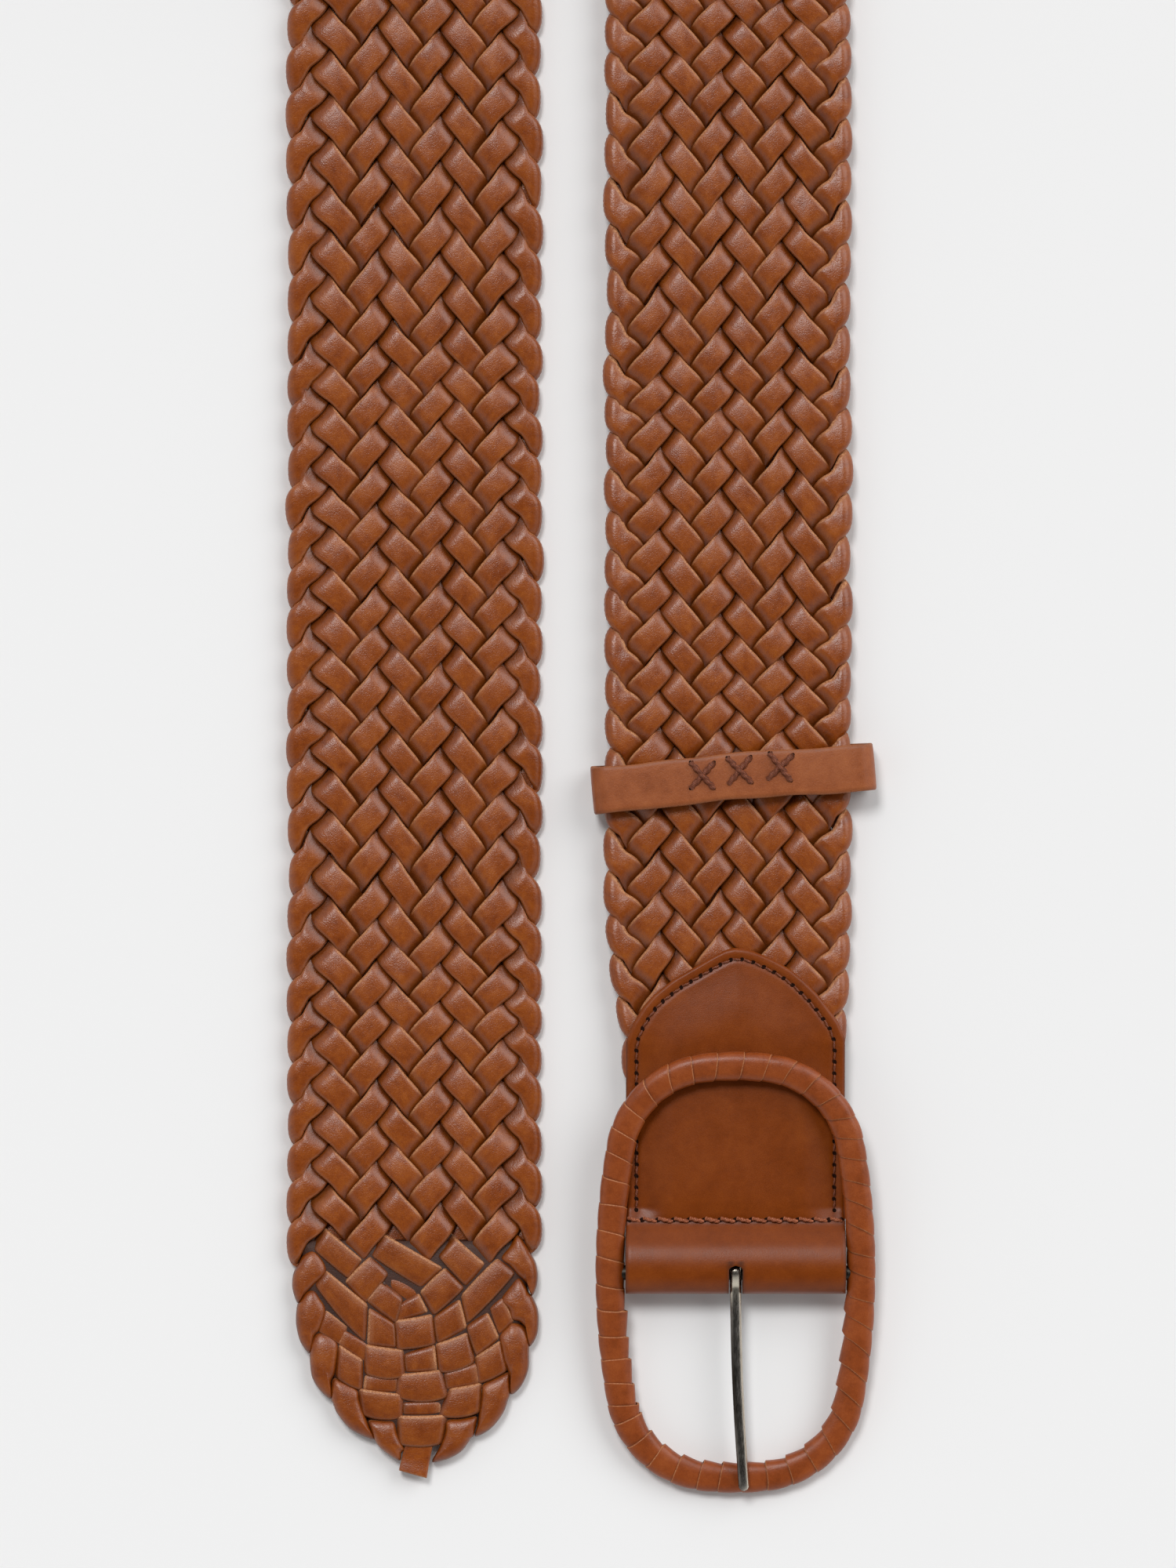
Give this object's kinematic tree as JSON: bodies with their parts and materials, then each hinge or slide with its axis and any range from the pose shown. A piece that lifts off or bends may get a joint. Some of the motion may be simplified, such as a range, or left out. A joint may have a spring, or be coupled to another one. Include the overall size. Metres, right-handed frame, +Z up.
{
  "type": "belt",
  "caption": "Wide braided leather belt with a leather-covered oval centre-bar buckle, a folded chape and a loose keeper, laid with both ends side by side and its middle on edge in a loop.",
  "frame": {"origin": "centre of the belt's bounding box, on the surface it lies on", "axes": "+X across the two legs towards the buckle leg, +Y from the tip and buckle towards the loop, +Z up"},
  "size_m": [0.1404, 0.5466, 0.0602],
  "materials": {
    "braid_leather": "semi-gloss cognac leather laces with paler cut edges",
    "chape_leather": "smooth burnished cognac leather",
    "keeper_leather": "smooth cognac leather strip",
    "cover_leather": "thin cognac leather wound round the frame",
    "thread": "waxed twisted thread",
    "steel": "plated steel"
  },
  "bodies": {
    "loop_buckle_half": {"strap_loop_buckle_half": "braid_leather"},
    "loop_tip_half": {"strap_loop_tip_half": "braid_leather"},
    "tip_leg": {"strap_tip_leg": "braid_leather", "tip_lace_tail": "braid_leather"},
    "buckle_leg": {"strap_buckle_leg": "braid_leather", "strap_lace_ends": "braid_leather", "chape_tab": "chape_leather", "chape_edge_seam": "thread", "chape_cross_seam": "thread"},
    "keeper": {"keeper_loop": "keeper_leather", "keeper_lap_seam": "thread"},
    "buckle": {"buckle_core": "steel", "buckle_bar": "steel", "buckle_cover_upper": "cover_leather", "buckle_cover_lower": "cover_leather"},
    "prong": {"prong": "steel"}
  },
  "joints": [
    {"name": "loop_open", "type": "hinge", "parent": "loop_buckle_half", "child": "loop_tip_half", "pos_m": [-0.00218, 0.27326, 0], "axis": [0, 0, -1], "range_deg": [0, 60]},
    {"name": "tip_leg_lift", "type": "hinge", "parent": "loop_tip_half", "child": "tip_leg", "pos_m": [-0.03933, 0.08596, 0.00464], "axis": [-1, 0, 0], "range_deg": [0, 45]},
    {"name": "buckle_leg_lift", "type": "hinge", "parent": "loop_buckle_half", "child": "buckle_leg", "pos_m": [0.03497, 0.08596, 0.00654], "axis": [-1, 0, 0], "range_deg": [0, 45]},
    {"name": "keeper_slide", "type": "slide", "parent": "buckle_leg", "child": "keeper", "axis": [0, 1, 0], "range_m": [-0.03, 0.18]},
    {"name": "buckle_swing", "type": "hinge", "parent": "buckle_leg", "child": "buckle", "pos_m": [0.03672, -0.22084, 0.00683], "axis": [1, 0, 0], "range_deg": [0, 95]},
    {"name": "prong_swing", "type": "hinge", "parent": "buckle", "child": "prong", "pos_m": [0.03672, -0.22084, 0.00683], "axis": [-1, 0, 0], "range_deg": [0, 80]}
  ]
}
